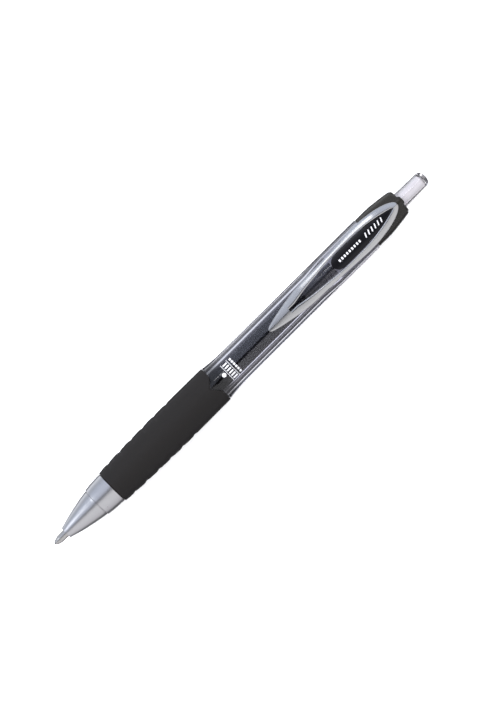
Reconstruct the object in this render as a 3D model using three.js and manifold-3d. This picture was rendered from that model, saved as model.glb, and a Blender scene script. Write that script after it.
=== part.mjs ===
// A retractable gel pen, millimetres, +Z up.
// The pen lies along X with its writing point towards -X and its clip facing +Z.
// Lengths along the pen are measured from the writing point and are turned into
// the part's own frame, whose origin is under the middle of the pen, by placing
// every piece in one group.

import * as THREE from "three";
import { mergeVertices } from "three/addons/utils/BufferGeometryUtils.js";
import Module from "manifold-3d";

const wasm = await Module();
wasm.setup();

// Driving dimensions
const LENGTH = 144; // with the point out and the button at rest
const SIDES = 24; // facets round every turned piece, in one phase so that they nest
const FLAT = Math.cos(Math.PI / SIDES); // a facet's distance from the axis over a corner's

const FIT = 0.1; // gap round a piece that is pushed into another
const END_GAP = 0.2; // gap behind a piece that is pushed home

const GRIP_RADIUS = 5.98;
const GRIP_SEAT_RADIUS = 4.75;
const GRIP_START = 22.45;
const GRIP_END = 62.7;
const RIB_NOTCHES = { first: 26.0, pitch: 4.55, count: 6, depth: 0.18, halfWidth: 1.3 };
const NOTCH_SPREAD = 36; // degrees each way from the side of the grip
const V_NOTCH = { apex: 60.5, halfWidth: 2.8, gap: 0.14 }; // in the grip's rear edge
const TONGUE = { start: 60, end: 62.9, outer: 5.75 }; // of the barrel, in that notch

const NOSE_START = 4.4;
const NOSE_END = 22.3;
const SPRING_ROOM = { start: 10.0, end: 16.9, radius: 2.62 };
const THREAD = { start: 18, end: 21.5, step: 0.5, root: 3.85, crest: 4.1, gap: 0.12 };

const BARREL = { start: 17.2, gripSeat: 22.4, shoulder: 62.82, radius: 5.125, end: 121.45 };
const BORE = { refill: 3.45, cam: 4.1, taperStart: 99.5, taperEnd: 107.5 };
const SPIGOT = { radius: 4.5, end: 124.6 };

const CAP = { start: 121.6, radius: 4.98, shoulder: 128.6, face: 134.2, hole: 2.7 };
const LUG = { start: 132.9, end: 134.75, inner: 3.0, outer: 4.2, width: 40 };
const CLIP_POCKET = { x: [128.9, 131.5], y: [-1.6, 1.6], z: [3.6, 6] };

const SLEEVE = { start: 108, end: 127.5, outer: 3.95, inner: 3.5 };
const RIB = { start: 115, radius: 2.7, width: 20, count: 4 };
const CAM_RADIUS = 2.5;
const ROTOR = { front: 110.15, rear: 116.3, bore: 1.25, finStart: 111.5, finEnd: 114.8 };
const THRUST = { front: 117.9, rear: 123.3, keyStart: 119.0, keyEnd: 123.2 };
const PIN = { start: 112.2, radius: 0.95 };
const STEM = { radius: 1.72, taperStart: 142.0, end: 142.65, tipRadius: 1.15 };
const FIN = { inner: 2.2, outer: 3.3, width: 16 };
const CROWN = { teeth: 8, depth: 0.75, inner: 1.4, outer: 2.4, overlap: 0.2, root: 30, tip: 10 };
const ROTOR_REST_ANGLE = 21; // from the middle of a rib to the middle of a fin, degrees

const TUBE = { start: 27.6, end: 108.5, outer: 2.8, inner: 2.1 };
const INK = { start: 31.15, end: 97, radius: 2.0 };
const FOLLOWER = { start: 97.05, end: 104.3 };
const PLUG = { start: 104.5, flange: 108.6, end: 110, vent: 0.6 };
const BALL_RADIUS = 0.5;
const POINT = { start: 0.3, end: 13.1, radius: 1.2, fit: 0.06 };
const CHECK_BALL = { x: 21.2, radius: 0.95 };

const SPRING = { start: 10.35, end: 25.75, radius: 2.15, wire: 0.2, turns: 9 };
const BALL_SPRING = { start: 1.4, end: 8.6, radius: 0.36, wire: 0.07, turns: 9 };

const CLIP = { underside: 7.18, crest: 7.93, crown: 15.8 };
const OPENING = { floor: 5.65, top: 9 }; // heights between which the clip is cut open
const CLIP_FOOT = { x: [129.3, 131.1], y: [-1.3, 1.3], z: [3.9, 5.5] };
const SLOT = { x: [91.2, 93.7], y: [-0.45, 0.45], z: [5, OPENING.top] };
const INLAY = { start: 107.9, full: 109.6, end: 130.6, gap: 0.14, sink: 0.16, thickness: 0.5 };

// Fineness of the facets
const WELD = 1e-4;
const SECTOR_FACET = 12; // degrees
const BALL_FACETS = [12, 8];

// Solids and booleans

const degrees = THREE.MathUtils.degToRad;

function solid(geometry) {
  const bare = geometry.clone();
  bare.deleteAttribute("normal");
  bare.deleteAttribute("uv");
  const merged = mergeVertices(bare, WELD);
  return new wasm.Manifold(
    new wasm.Mesh({
      numProp: 3,
      vertProperties: merged.attributes.position.array,
      triVerts: new Uint32Array(merged.index.array),
    }),
  );
}

function geometryOf(manifold) {
  const mesh = manifold.getMesh();
  const geometry = new THREE.BufferGeometry();
  geometry.setAttribute("position", new THREE.BufferAttribute(mesh.vertProperties, 3));
  geometry.setIndex(new THREE.BufferAttribute(mesh.triVerts, 1));
  const flat = geometry.toNonIndexed();
  flat.computeVertexNormals();
  return flat;
}

function join(geometries) {
  return geometryOf(geometries.map(solid).reduce((whole, next) => whole.add(next)));
}

function cut(geometry, cutters) {
  return geometryOf(
    cutters.map(solid).reduce((whole, cutter) => whole.subtract(cutter), solid(geometry)),
  );
}

function common(first, second) {
  return geometryOf(solid(first).intersect(solid(second)));
}

// Turns a profile of [x, radius] pairs round the pen's axis. The outside runs
// towards +X, and a bore closes the profile on itself.
function turned(profile) {
  const points = profile.map(([x, radius]) => new THREE.Vector2(radius, x));
  return new THREE.LatheGeometry(points, SIDES, Math.PI / SIDES).rotateZ(-Math.PI / 2);
}

// A tube wall with an outer profile and a bore, both given from front to rear.
function hollow(outer, bore) {
  return turned([...outer, ...bore.toReversed(), outer[0]]);
}

function ring(start, end, inner, outer) {
  return hollow(
    [[start, outer], [end, outer]],
    [[start, inner], [end, inner]],
  );
}

function rod(start, end, radius) {
  return turned([[start, 0], [start, radius], [end, radius], [end, 0]]);
}

// A prism along X from an outline of [y, z] pairs.
function prismAlongX(outline, start, end) {
  const shape = new THREE.Shape(outline.map(([y, z]) => new THREE.Vector2(y, z)));
  const geometry = new THREE.ExtrudeGeometry(shape, { depth: end - start, bevelEnabled: false });
  const axisToX = new THREE.Matrix4().set(0, 0, 1, start, 1, 0, 0, 0, 0, 1, 0, 0, 0, 0, 0, 1);
  return geometry.applyMatrix4(axisToX);
}

// A prism along Z from an outline of [x, y] pairs.
function prismAlongZ(outline, bottom, top) {
  const shape = new THREE.Shape(outline.map(([x, y]) => new THREE.Vector2(x, y)));
  const geometry = new THREE.ExtrudeGeometry(shape, { depth: top - bottom, bevelEnabled: false });
  return geometry.translate(0, 0, bottom);
}

// A block from its ranges { x, y, z }.
function block({ x, y, z }) {
  const sizes = [x, y, z].map(([low, high]) => high - low);
  const middles = [x, y, z].map(([low, high]) => (low + high) / 2);
  return new THREE.BoxGeometry(...sizes).translate(...middles);
}

// A piece of a tube: from inner to outer radius, width degrees wide, its middle
// turned by centre degrees from +Z towards +Y.
function sector(start, end, inner, outer, centre, width) {
  const steps = Math.max(2, Math.ceil(width / SECTOR_FACET));
  const edge = (radius, share) => {
    const angle = degrees(centre + width * (share - 0.5));
    return [radius * Math.sin(angle), radius * Math.cos(angle)];
  };
  const outward = Array.from({ length: steps + 1 }, (_, i) => edge(outer, i / steps));
  const back = Array.from({ length: steps + 1 }, (_, i) => edge(inner, 1 - i / steps));
  return prismAlongX([...outward, ...back].reverse(), start, end);
}

function ball(x, radius) {
  return new THREE.SphereGeometry(radius, ...BALL_FACETS).translate(x, 0, 0);
}

// A coil spring along X with its wire closed at both ends.
class Helix extends THREE.Curve {
  constructor(spring) {
    super();
    this.spring = spring;
  }
  getPoint(share, target = new THREE.Vector3()) {
    const { start, end, radius, turns } = this.spring;
    const angle = share * turns * 2 * Math.PI;
    const x = start + (end - start) * share;
    return target.set(x, radius * Math.sin(angle), radius * Math.cos(angle));
  }
}

function coil(spring, stepsPerTurn, wireSides) {
  const section = new THREE.Shape(
    Array.from({ length: wireSides }, (_, i) => {
      const angle = (i / wireSides) * 2 * Math.PI;
      return new THREE.Vector2(spring.wire * Math.cos(angle), spring.wire * Math.sin(angle));
    }),
  );
  return new THREE.ExtrudeGeometry(section, {
    steps: Math.round(spring.turns * stepsPerTurn),
    extrudePath: new Helix(spring),
  });
}

// Straight interpolation in a table of [x, value] pairs.
function along(table, x) {
  const after = table.findIndex(([at]) => at >= x);
  if (after < 0) return table.at(-1)[1];
  if (after === 0) return table[0][1];
  const [[x0, v0], [x1, v1]] = [table[after - 1], table[after]];
  return v0 + ((v1 - v0) * (x - x0)) / (x1 - x0);
}

// A bar along X with a flat underside and a crowned top. section(x) gives its
// half width and the heights of its underside and of the middle of its top.
function crownedBar(stations, section, crownRadius) {
  const TOP_POINTS = 5;
  const rings = stations.map((x) => {
    const { half, underside, crest } = section(x);
    const top = Array.from({ length: TOP_POINTS }, (_, i) => {
      const y = half * (1 - (2 * i) / (TOP_POINTS - 1));
      return [x, y, crest - (crownRadius - Math.sqrt(crownRadius ** 2 - y ** 2))];
    });
    return [[x, -half, underside], [x, half, underside], ...top];
  });
  const size = rings[0].length;
  const faces = [];
  for (let i = 0; i + 1 < rings.length; i += 1) {
    for (let j = 0; j < size; j += 1) {
      const [a, b] = [i * size + j, i * size + ((j + 1) % size)];
      faces.push(a, b, a + size, b, b + size, a + size);
    }
  }
  const last = (rings.length - 1) * size;
  for (let j = 1; j + 1 < size; j += 1) {
    faces.push(0, j + 1, j, last, last + j, last + j + 1);
  }
  const geometry = new THREE.BufferGeometry();
  geometry.setAttribute("position", new THREE.Float32BufferAttribute(rings.flat(2), 3));
  geometry.setIndex(faces);
  return geometry;
}

// Outer shell

// The crests and roots of the joint between nose and barrel, widened by extra.
function threadProfile(extra) {
  const count = Math.round((THREAD.end - THREAD.start) / THREAD.step);
  return Array.from({ length: count + 1 }, (_, i) => [
    THREAD.start + i * THREAD.step,
    (i % 2 ? THREAD.crest : THREAD.root) + extra,
  ]);
}

function noseCone() {
  const outer = [
    [NOSE_START, 1.72],
    [5.65, 2.11],
    [8.41, 2.87],
    [11.16, 3.47],
    [13.92, 4.02],
    [16.1, 4.37],
    [16.35, 4.58],
    [18.5, 4.85],
    [NOSE_END, 5.07],
  ];
  const bore = [
    [NOSE_START, 1.38],
    [6.6, 1.38],
    [7.0, 1.9],
    [SPRING_ROOM.start, 1.9],
    [SPRING_ROOM.start, SPRING_ROOM.radius],
    [SPRING_ROOM.end, SPRING_ROOM.radius],
    [SPRING_ROOM.end, THREAD.root + THREAD.gap],
    ...threadProfile(THREAD.gap),
    [NOSE_END, THREAD.crest + THREAD.gap],
  ];
  return hollow(outer, bore);
}

// The V-shaped notch as a solid, or the tongue in it when it is made smaller by shrink.
function vNotch(shrink) {
  const { apex, halfWidth } = V_NOTCH;
  const end = GRIP_END + 0.6;
  const half = (halfWidth * (end - apex)) / (GRIP_END - apex) - shrink;
  return prismAlongZ([[apex + shrink, 0], [end, -half], [end, half]], 0, GRIP_RADIUS + 1);
}

function rubberGrip() {
  const outer = [
    [GRIP_START, 5.3],
    [25.5, 5.45],
    [31, 5.68],
    [38, 5.88],
    [46, GRIP_RADIUS],
    [50, GRIP_RADIUS],
    [GRIP_END - 0.35, 5.87],
    [GRIP_END, 5.72],
  ];
  const bore = [
    [GRIP_START, GRIP_SEAT_RADIUS + FIT],
    [GRIP_END, GRIP_SEAT_RADIUS + FIT],
  ];
  const { first, pitch, count, depth, halfWidth } = RIB_NOTCHES;
  const notches = [];
  for (let i = 0; i < count; i += 1) {
    const x = first + i * pitch;
    const [front, rear] = [x - halfWidth, x + halfWidth];
    const [bottom, rim] = [along(outer, x) - depth, along(outer, x) + 1];
    const groove = turned([[x, bottom], [front, rim], [rear, rim], [x, bottom]]);
    for (const side of [90, 270]) {
      notches.push(common(groove, sector(front, rear, bottom / 2, 2 * rim, side, 2 * NOTCH_SPREAD)));
    }
  }
  return cut(hollow(outer, bore), [...notches, vNotch(0)]);
}

function barrel() {
  const outer = [
    [BARREL.start, THREAD.root],
    ...threadProfile(0),
    [BARREL.gripSeat, THREAD.root],
    [BARREL.gripSeat, GRIP_SEAT_RADIUS],
    [BARREL.shoulder, GRIP_SEAT_RADIUS],
    [BARREL.shoulder, 5.8],
    [64.1, 5.56],
    [65.6, 5.36],
    [69.6, 5.17],
    [76, BARREL.radius],
    [BARREL.end - 0.25, BARREL.radius],
    [BARREL.end, CAP.radius],
    [BARREL.end, SPIGOT.radius],
    [SPIGOT.end, SPIGOT.radius],
  ];
  const bore = [
    [BARREL.start, BORE.refill],
    [BORE.taperStart, BORE.refill],
    [BORE.taperEnd, BORE.cam],
    [SPIGOT.end, BORE.cam],
  ];
  const band = ring(TONGUE.start, TONGUE.end, GRIP_SEAT_RADIUS - FIT / 2, TONGUE.outer);
  return join([hollow(outer, bore), common(band, vNotch(V_NOTCH.gap))]);
}

function endCap() {
  const outer = [
    [CAP.start, CAP.radius],
    [126.4, CAP.radius],
    [129.1, 4.67],
    [131.3, 4.4],
    [133.4, 4.08],
    [133.9, 3.85],
    [CAP.face, 3.5],
  ];
  const bore = [
    [CAP.start, SPIGOT.radius + FIT],
    [SPIGOT.end + END_GAP, SPIGOT.radius + FIT],
    [SPIGOT.end + END_GAP, SLEEVE.outer + FIT],
    [SLEEVE.end + END_GAP, SLEEVE.outer + FIT],
    [SLEEVE.end + END_GAP, SLEEVE.inner],
    [CAP.shoulder, SLEEVE.inner],
    [CAP.shoulder, CAP.hole],
    [CAP.face, CAP.hole],
  ];
  const lug = sector(LUG.start, LUG.end, LUG.inner, LUG.outer, 0, LUG.width);
  return cut(join([hollow(outer, bore), lug]), [block(CLIP_POCKET)]);
}

// Clip

const CLIP_HALF_WIDTHS = [
  [83.3, 0.4], [85, 1.0], [88.3, 1.85], [91, 2.4], [94.3, 2.9], [98, 3.28], [102.4, 3.35],
  [107.6, 3.48], [114, 3.78], [118.7, 4.0], [121.4, 3.95], [125.6, 3.47], [129, 2.72],
  [131.2, 1.8], [132.7, 0.9],
];
const OPENING_HALF_WIDTHS = [
  [93.5, 0.4], [95.5, 0.72], [98.9, 1.3], [102.4, 1.65], [107.6, 2.25], [113, 2.4], [118.7, 2.3],
  [122, 2.0], [125.6, 1.46], [129, 0.7], [131.1, 0.15],
];
const CLIP_CRESTS = [
  [83.3, 6.2], [85.5, 6.05], [89, 6.7], [94.3, 7.72], [98, CLIP.crest], [119.5, CLIP.crest],
  [124, 7.7], [128, 6.95], [131.2, 5.95], [132.7, 5.3],
];
const CLIP_UNDERSIDES = [
  [83.3, 5.75], [86.5, 5.25], [89, 5.8], [94.3, 7.05], [95.5, CLIP.underside],
  [120.5, CLIP.underside], [124, 6.85], [128, 5.85], [131.2, 5.1], [132.7, 4.75],
];

function clipFrame() {
  const tables = [CLIP_HALF_WIDTHS, CLIP_CRESTS, CLIP_UNDERSIDES];
  const stations = [...new Set(tables.flat().map(([x]) => x))].sort((a, b) => a - b);
  const section = (x) => ({
    half: along(CLIP_HALF_WIDTHS, x),
    underside: along(CLIP_UNDERSIDES, x),
    crest: along(CLIP_CRESTS, x),
  });
  const edge = OPENING_HALF_WIDTHS;
  const leaf = [...edge.map(([x, y]) => [x, -y]), ...edge.toReversed()];
  const opening = prismAlongZ(leaf, OPENING.floor, OPENING.top);
  const bar = crownedBar(stations, section, CLIP.crown);
  return cut(join([bar, block(CLIP_FOOT)]), [opening, block(SLOT)]);
}

function clipInlay() {
  const between = OPENING_HALF_WIDTHS.map(([x]) => x).filter((x) => x > INLAY.full && x < INLAY.end);
  const stations = [INLAY.start, INLAY.full, ...between, INLAY.end];
  const section = (x) => {
    const crest = along(CLIP_CRESTS, x) - INLAY.sink;
    const blunt = x === INLAY.start ? 0.5 : 1;
    return {
      half: (along(OPENING_HALF_WIDTHS, x) - INLAY.gap) * blunt,
      underside: Math.max(crest - INLAY.thickness, OPENING.floor + INLAY.gap),
      crest,
    };
  };
  return crownedBar(stations, section, CLIP.crown);
}

// Button and cam

// A ring of stepped teeth that stands on a face at x and points along direction.
function crown(x, direction) {
  const { teeth, depth, inner, outer, overlap, root, tip } = CROWN;
  const step = (height, width, i) => {
    const ends = [x - direction * overlap, x + direction * height].sort((a, b) => a - b);
    return sector(...ends, inner, outer, (i * 360) / teeth, width);
  };
  const tooth = (_, i) => [step(depth / 2, root, i), step(depth, tip, i)];
  return Array.from({ length: teeth }, tooth).flat();
}

// Fins, one for each space between the ribs of the sleeve.
function fins(start, end, firstAngle) {
  return Array.from({ length: RIB.count }, (_, i) =>
    sector(start, end, FIN.inner, FIN.outer, firstAngle + (i * 360) / RIB.count, FIN.width),
  );
}

function guideSleeve() {
  const tube = ring(SLEEVE.start, SLEEVE.end, SLEEVE.inner, SLEEVE.outer);
  const root = (SLEEVE.inner + SLEEVE.outer) / 2;
  const ribs = Array.from({ length: RIB.count }, (_, i) =>
    sector(RIB.start, SLEEVE.end, RIB.radius, root, (i * 360) / RIB.count, RIB.width),
  );
  return join([tube, ...ribs]);
}

function rotor() {
  const body = ring(ROTOR.front, ROTOR.rear, ROTOR.bore, CAM_RADIUS);
  const blades = fins(ROTOR.finStart, ROTOR.finEnd, ROTOR_REST_ANGLE);
  return join([body, ...blades, ...crown(ROTOR.rear, 1)]);
}

function thrustCam() {
  const body = turned([
    [PIN.start, 0],
    [PIN.start, PIN.radius],
    [THRUST.front, PIN.radius],
    [THRUST.front, CAM_RADIUS],
    [THRUST.rear, CAM_RADIUS],
    [THRUST.rear, STEM.radius],
    [STEM.taperStart, STEM.radius],
    [STEM.end, STEM.tipRadius],
    [STEM.end, 0],
  ]);
  const keys = fins(THRUST.keyStart, THRUST.keyEnd, 180 / RIB.count);
  return join([body, ...keys, ...crown(THRUST.front, -1)]);
}

function pushButton() {
  const outer = [
    [123.45, 2.48],
    [134, 2.46],
    [142.4, 2.33],
    [143.2, 2.15],
    [143.75, 1.6],
    [LENGTH, 0.8],
    [LENGTH, 0],
  ];
  const bore = [
    [142.9, 0],
    [142.9, 1.3],
    [142.2, 1.88],
    [123.45, 1.95],
  ];
  return turned([...outer, ...bore, outer[0]]);
}

// Refill

function refillTube() {
  return ring(TUBE.start, TUBE.end, TUBE.inner, TUBE.outer);
}

function tailPlug() {
  const outer = [
    [PLUG.start, INK.radius],
    [PLUG.flange, INK.radius],
    [PLUG.flange, TUBE.outer],
    [PLUG.end, TUBE.outer],
  ];
  return hollow(outer, [[PLUG.start, PLUG.vent], [PLUG.end, PLUG.vent]]);
}

function pointHolder() {
  const outer = [
    [9.0, 1.55],
    [9.3, 1.7],
    [26.0, 1.7],
    [26.0, 2.9],
    [27.5, 2.9],
    [27.5, INK.radius],
    [31.0, INK.radius],
  ];
  const bore = [
    [9.0, POINT.radius + POINT.fit],
    [POINT.end + FIT, POINT.radius + POINT.fit],
    [POINT.end + FIT, 0.6],
    [19.4, 0.6],
    [20.0, 1.15],
    [22.6, 1.15],
    [22.6, 0.7],
    [31.0, 0.7],
  ];
  return hollow(outer, bore);
}

function pointHousing() {
  const outer = [
    [POINT.start, 0.62],
    [2.2, POINT.radius],
    [POINT.end, POINT.radius],
  ];
  const bore = [
    [POINT.start, 0.475],
    [0.5, 0.56],
    [0.85, 0.56],
    [1.15, 0.3],
    [1.3, 0.52],
    [9.5, 0.52],
    [9.9, 0.8],
    [POINT.end, 0.8],
  ];
  return hollow(outer, bore);
}

// Every piece with its colour, roughness and metalness

const LOOKS = {
  plated: [0xb9b7c0, 0.25, 0.9],
  steel: [0x8d8a88, 0.3, 0.9],
  rubber: [0x2b292b, 0.7, 0],
  smokyPlastic: [0x55545f, 0.15, 0],
  blackPlastic: [0x2e2b2b, 0.3, 0],
  glossBlack: [0x0c0b0e, 0.12, 0],
  clearPlastic: [0xdedade, 0.2, 0],
  whitePlastic: [0xe9e6e8, 0.45, 0],
  frostedPlastic: [0xc8c8cc, 0.4, 0],
  ink: [0x08080b, 0.3, 0],
  grease: [0xcfc6a0, 0.3, 0],
  ballMetal: [0x6f7074, 0.15, 1],
};

const PIECES = {
  nose_cone: [noseCone(), LOOKS.plated],
  rubber_grip: [rubberGrip(), LOOKS.rubber],
  barrel: [barrel(), LOOKS.smokyPlastic],
  end_cap: [endCap(), LOOKS.blackPlastic],
  guide_sleeve: [guideSleeve(), LOOKS.frostedPlastic],
  clip: [clipFrame(), LOOKS.plated],
  clip_inlay: [clipInlay(), LOOKS.glossBlack],
  push_button: [pushButton(), LOOKS.clearPlastic],
  thrust_cam: [thrustCam(), LOOKS.whitePlastic],
  rotor: [rotor(), LOOKS.whitePlastic],
  refill_tube: [refillTube(), LOOKS.frostedPlastic],
  ink_column: [rod(INK.start, INK.end, INK.radius), LOOKS.ink],
  ink_follower: [rod(FOLLOWER.start, FOLLOWER.end, INK.radius), LOOKS.grease],
  tail_plug: [tailPlug(), LOOKS.blackPlastic],
  point_holder: [pointHolder(), LOOKS.frostedPlastic],
  check_ball: [ball(CHECK_BALL.x, CHECK_BALL.radius), LOOKS.ballMetal],
  point_housing: [pointHousing(), LOOKS.steel],
  ball_spring: [coil(BALL_SPRING, 8, 4), LOOKS.steel],
  point_ball: [ball(BALL_RADIUS, BALL_RADIUS), LOOKS.ballMetal],
  return_spring: [coil(SPRING, 12, 6), LOOKS.steel],
};

const pen = new THREE.Group();
for (const [name, [geometry, [color, roughness, metalness]]] of Object.entries(PIECES)) {
  const material = new THREE.MeshStandardMaterial({ color, roughness, metalness });
  const mesh = new THREE.Mesh(geometry, material);
  mesh.name = name;
  pen.add(mesh);
}
pen.position.set(-LENGTH / 2, 0, GRIP_RADIUS * FLAT);

export default pen;
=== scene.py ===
import math

import bmesh
import bpy
from mathutils import Matrix, Vector


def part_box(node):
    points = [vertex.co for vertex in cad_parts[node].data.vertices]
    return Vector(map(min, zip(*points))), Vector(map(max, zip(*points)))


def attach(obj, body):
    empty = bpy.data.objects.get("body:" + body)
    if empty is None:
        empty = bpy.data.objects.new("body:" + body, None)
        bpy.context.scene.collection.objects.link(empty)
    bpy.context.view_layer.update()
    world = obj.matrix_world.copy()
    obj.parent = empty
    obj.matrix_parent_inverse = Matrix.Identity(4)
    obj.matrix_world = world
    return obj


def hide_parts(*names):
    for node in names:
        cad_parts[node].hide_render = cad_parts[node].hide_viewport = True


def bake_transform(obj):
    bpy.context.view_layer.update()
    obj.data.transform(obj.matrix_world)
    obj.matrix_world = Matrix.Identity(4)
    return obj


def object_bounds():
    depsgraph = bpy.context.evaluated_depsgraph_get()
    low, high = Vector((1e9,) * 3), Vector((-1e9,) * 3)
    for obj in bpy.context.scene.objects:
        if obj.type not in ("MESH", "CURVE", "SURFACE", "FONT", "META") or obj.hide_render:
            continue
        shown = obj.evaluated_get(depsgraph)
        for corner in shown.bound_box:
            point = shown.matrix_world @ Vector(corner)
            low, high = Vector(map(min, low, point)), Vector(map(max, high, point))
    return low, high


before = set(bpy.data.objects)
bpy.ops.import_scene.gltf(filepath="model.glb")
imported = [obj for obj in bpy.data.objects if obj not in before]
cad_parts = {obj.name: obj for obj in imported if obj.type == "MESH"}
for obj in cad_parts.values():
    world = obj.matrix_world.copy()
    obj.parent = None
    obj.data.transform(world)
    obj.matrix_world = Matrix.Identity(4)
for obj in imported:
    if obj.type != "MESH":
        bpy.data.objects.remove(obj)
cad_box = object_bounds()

# The pen lies along X, its point towards -X and its clip up. Shapes are written
# in millimetres: x from the writing point, y and h (height) from the pen's axis.

MM = 0.001
TIP_X = cad_box[0].x
AXIS_Z = sum(corner.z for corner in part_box("refill_tube")) / 2
LENGTH = (cad_box[1].x - cad_box[0].x) / MM
STEPS = 144  # round every turned piece
FINE_STEPS = 288  # round the pieces whose outline changes round the pen
CAD_SIDES = 24  # facets of a round in the CAD, one of which faces +Y
ON_AXIS = 1e-6  # a radius below this lies on the axis
CORNER_SHARE = 0.48  # of a straight stretch, for a rounded corner at each of its ends
WELD = 1e-6  # metres within which doubled points are joined
SLIVER = 1e-7  # metres below which an edge is dropped


def reach(node):
    """A CAD node's first and last x, in millimetres from the writing point."""
    low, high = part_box(node)
    return (low.x - TIP_X) / MM, (high.x - TIP_X) / MM


def girth(node):
    """A CAD node's radius: half its width across the pen, to its corners."""
    low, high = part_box(node)
    return (high.y - low.y) / MM / 2 / math.cos(math.pi / CAD_SIDES)


def place(x, y, h):
    """A point in millimetres as the frame's own x, y, z in metres."""
    return (TIP_X + x * MM, y * MM, AXIS_Z + h * MM)


# ---------------------------------------------------------------- number helpers


def smooth_step(value, low, high):
    share = min(max((value - low) / (high - low), 0.0), 1.0)
    return share * share * (3 - 2 * share)


def slopes(table):
    """Slopes at the points of a table of (x, value), such that the curve never overshoots."""
    secants = [
        (v1 - v0) / (x1 - x0) for (x0, v0), (x1, v1) in zip(table, table[1:])
    ]
    inner = [
        0.0 if a * b <= 0 else 2 * a * b / (a + b) for a, b in zip(secants, secants[1:])
    ]
    return [secants[0], *inner, secants[-1]]


def curve(table):
    """A smooth function through the points of a table of (x, value)."""
    tangents = slopes(table)

    def value_at(x):
        if x <= table[0][0]:
            return table[0][1]
        if x >= table[-1][0]:
            return table[-1][1]
        i = next(k for k in range(len(table) - 1) if x <= table[k + 1][0])
        (x0, v0), (x1, v1) = table[i], table[i + 1]
        width = x1 - x0
        t = (x - x0) / width
        return (
            v0 * (1 + 2 * t) * (1 - t) ** 2
            + tangents[i] * width * t * (1 - t) ** 2
            + v1 * t * t * (3 - 2 * t)
            + tangents[i + 1] * width * t * t * (t - 1)
        )

    return value_at


def spread(start, end, count):
    return [start + (end - start) * i / (count - 1) for i in range(count)]


def rounded(profile, closed=False, arc=5):
    """Rounds the corners of a profile of (x, radius) or (x, radius, corner size)."""
    corners = [(*p, 0.0) if len(p) == 2 else p for p in profile]
    result = []
    count = len(corners)
    for i, (x, r, size) in enumerate(corners):
        here = Vector((x, r))
        if size == 0 or (not closed and i in (0, count - 1)):
            result.append((x, r))
            continue
        before = Vector(corners[i - 1][:2]) - here
        after = Vector(corners[(i + 1) % count][:2]) - here
        enter = here + before.normalized() * min(size, before.length * CORNER_SHARE)
        leave = here + after.normalized() * min(size, after.length * CORNER_SHARE)
        for t in spread(0, 1, arc):
            at = enter * (1 - t) ** 2 + here * 2 * t * (1 - t) + leave * t * t
            result.append((at.x, at.y))
    return result


# ------------------------------------------------------------------ shape makers
# A shape is (points, faces): points in millimetres as (x, y, h).


def combine(*shapes):
    points, faces = [], []
    for more_points, more_faces in shapes:
        faces += [[i + len(points) for i in face] for face in more_faces]
        points += more_points
    return points, faces


def bands(rings, count):
    """The faces between neighbouring rings of count points each."""
    faces = []
    for first in range(0, (rings - 1) * count, count):
        for k in range(count):
            a, b = first + k, first + (k + 1) % count
            faces.append([a, b, b + count, a + count])
    return faces


def turned(profile, closed=False, steps=STEPS):
    """Turns a profile round the pen's axis. profile is a list, or a function of the angle
    from the top (towards +Y) that gives one."""
    at_angle = profile if callable(profile) else lambda angle: profile
    rows = [at_angle(2 * math.pi * k / steps) for k in range(steps)]
    count = len(rows[0])
    points, index = [], {}
    for j in range(count):
        for k in range(steps):
            x, r = rows[k][j]
            if r < ON_AXIS and k > 0:
                index[j, k] = index[j, 0]
                continue
            angle = 2 * math.pi * k / steps
            index[j, k] = len(points)
            points.append((x, r * math.sin(angle), r * math.cos(angle)))
    faces = []
    for j in range(count if closed else count - 1):
        after = (j + 1) % count
        for k in range(steps):
            turn = (k + 1) % steps
            ring = [index[j, k], index[j, turn], index[after, turn], index[after, k]]
            face = list(dict.fromkeys(ring))
            if len(face) > 2:
                faces.append(face)
    return points, faces


def tube(outer, bore, arc=5):
    """A turned tube wall: its outside and its bore, both from front to rear."""
    return turned(rounded([*outer, *reversed(bore)], closed=True, arc=arc), closed=True)


def sector(start, end, inner, outer, centre, width, arc=9):
    """A block of a tube, width degrees wide, its middle turned by centre from the top."""
    angles = [math.radians(centre + width * (s - 0.5)) for s in spread(0, 1, arc)]
    outline = [(outer, a) for a in angles] + [(inner, a) for a in reversed(angles)]
    count = len(outline)
    points = [
        (x, r * math.sin(a), r * math.cos(a)) for x in (start, end) for r, a in outline
    ]
    sides = [
        [i, (i + 1) % count, count + (i + 1) % count, count + i] for i in range(count)
    ]
    half = count // 2
    caps = []
    for i in range(half - 1):
        quad = [i, i + 1, count - 2 - i, count - 1 - i]
        caps += [quad, [count + n for n in reversed(quad)]]
    return points, sides + caps


def wire(path, radius, sides=12, end_share=0.55):
    """A round wire along a path of Vectors, narrowed and closed at both ends."""
    tangents = [
        (path[min(i + 1, len(path) - 1)] - path[max(i - 1, 0)]).normalized()
        for i in range(len(path))
    ]
    normal = tangents[0].orthogonal().normalized()
    points = []
    for i, (at, tangent) in enumerate(zip(path, tangents)):
        normal = (normal - tangent * normal.dot(tangent)).normalized()
        across = tangent.cross(normal)
        size = radius * (end_share if i in (0, len(path) - 1) else 1.0)
        for k in range(sides):
            angle = 2 * math.pi * k / sides
            points.append(
                tuple(at + (normal * math.cos(angle) + across * math.sin(angle)) * size)
            )
    faces = bands(len(path), sides)
    last = (len(path) - 1) * sides
    faces.append(list(range(sides))[::-1])
    faces.append([last + k for k in range(sides)])
    return points, faces


MIDDLE_GAP = 1e-4  # mm; points nearer the middle plane than this lie on it


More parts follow.
